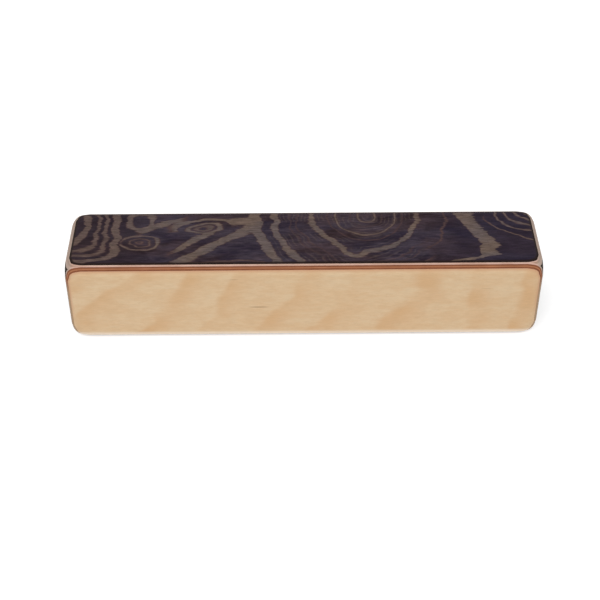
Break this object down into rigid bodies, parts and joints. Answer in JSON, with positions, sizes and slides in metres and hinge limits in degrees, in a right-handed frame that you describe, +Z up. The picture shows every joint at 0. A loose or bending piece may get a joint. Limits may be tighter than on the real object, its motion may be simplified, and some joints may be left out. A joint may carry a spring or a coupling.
{
  "type": "double shaker",
  "caption": "Long square box shaker in plywood: dark figured and birch faces, rounded edges that show the plies, dark boards in the ends, and two sealed chambers with loose filling.",
  "frame": {"origin": "centre of the box's outline on the surface that it lies on", "axes": "+X along the box to the right end, -Y out of the birch front face, +Z up out of the dark top face"},
  "size_m": [0.24, 0.048, 0.048],
  "materials": {
    "dark_veneer": "satin dark figured veneer, near black with grey-brown contour figure",
    "dark_board": "satin dark hardwood, near black with fine grain",
    "birch_face": "satin birch with fine lengthwise grain",
    "pale_ply": "sanded ply with its grain along the cut edge",
    "brown_ply": "sanded ply end grain, red-brown",
    "steel_ball": "polished",
    "seed": "smooth dry seed coat"
  },
  "bodies": {
    "box": {"top_veneer": "dark_veneer", "top_face_ply": "pale_ply", "top_core_ply": "brown_ply", "top_inner_ply": "pale_ply", "bottom_veneer": "dark_veneer", "bottom_face_ply": "pale_ply", "bottom_core_ply": "brown_ply", "bottom_inner_ply": "pale_ply", "left_end_board": "dark_board", "right_end_board": "dark_board", "front_face_ply": "birch_face", "front_cross_ply": "brown_ply", "front_middle_ply": "pale_ply", "front_inner_cross_ply": "brown_ply", "front_inner_ply": "pale_ply", "back_face_ply": "birch_face", "back_cross_ply": "brown_ply", "back_middle_ply": "pale_ply", "back_inner_cross_ply": "brown_ply", "back_inner_ply": "pale_ply", "divider_front_ply": "pale_ply", "divider_core_ply": "brown_ply", "divider_back_ply": "pale_ply"},
    "balls_a": {"steel_ball_a1": "steel_ball", "steel_ball_a2": "steel_ball", "steel_ball_a3": "steel_ball", "steel_ball_a4": "steel_ball", "steel_ball_a5": "steel_ball"},
    "balls_b": {"steel_ball_b1": "steel_ball", "steel_ball_b2": "steel_ball", "steel_ball_b3": "steel_ball", "steel_ball_b4": "steel_ball", "steel_ball_b5": "steel_ball"},
    "balls_c": {"steel_ball_c1": "steel_ball", "steel_ball_c2": "steel_ball", "steel_ball_c3": "steel_ball", "steel_ball_c4": "steel_ball", "steel_ball_c5": "steel_ball"},
    "seeds_a": {"seed_a1": "seed", "seed_a2": "seed", "seed_a3": "seed", "seed_a4": "seed", "seed_a5": "seed"},
    "seeds_b": {"seed_b1": "seed", "seed_b2": "seed", "seed_b3": "seed", "seed_b4": "seed", "seed_b5": "seed"},
    "seeds_c": {"seed_c1": "seed", "seed_c2": "seed", "seed_c3": "seed", "seed_c4": "seed", "seed_c5": "seed"}
  },
  "joints": [
    {"name": "balls_a_slide", "type": "slide", "parent": "box", "child": "balls_a", "axis": [0, 1, 0], "range_m": [-0.00302, 0.01288]},
    {"name": "balls_b_slide", "type": "slide", "parent": "box", "child": "balls_b", "axis": [0, 1, 0], "range_m": [-0.00938, 0.00652]},
    {"name": "balls_c_slide", "type": "slide", "parent": "box", "child": "balls_c", "axis": [0, 1, 0], "range_m": [-0.01232, 0.00358]},
    {"name": "seeds_a_slide", "type": "slide", "parent": "box", "child": "seeds_a", "axis": [0, 1, 0], "range_m": [-0.01073, 0.00377]},
    {"name": "seeds_b_slide", "type": "slide", "parent": "box", "child": "seeds_b", "axis": [0, 1, 0], "range_m": [-0.00507, 0.00942]},
    {"name": "seeds_c_slide", "type": "slide", "parent": "box", "child": "seeds_c", "axis": [0, 1, 0], "range_m": [-0.00797, 0.00653]}
  ]
}
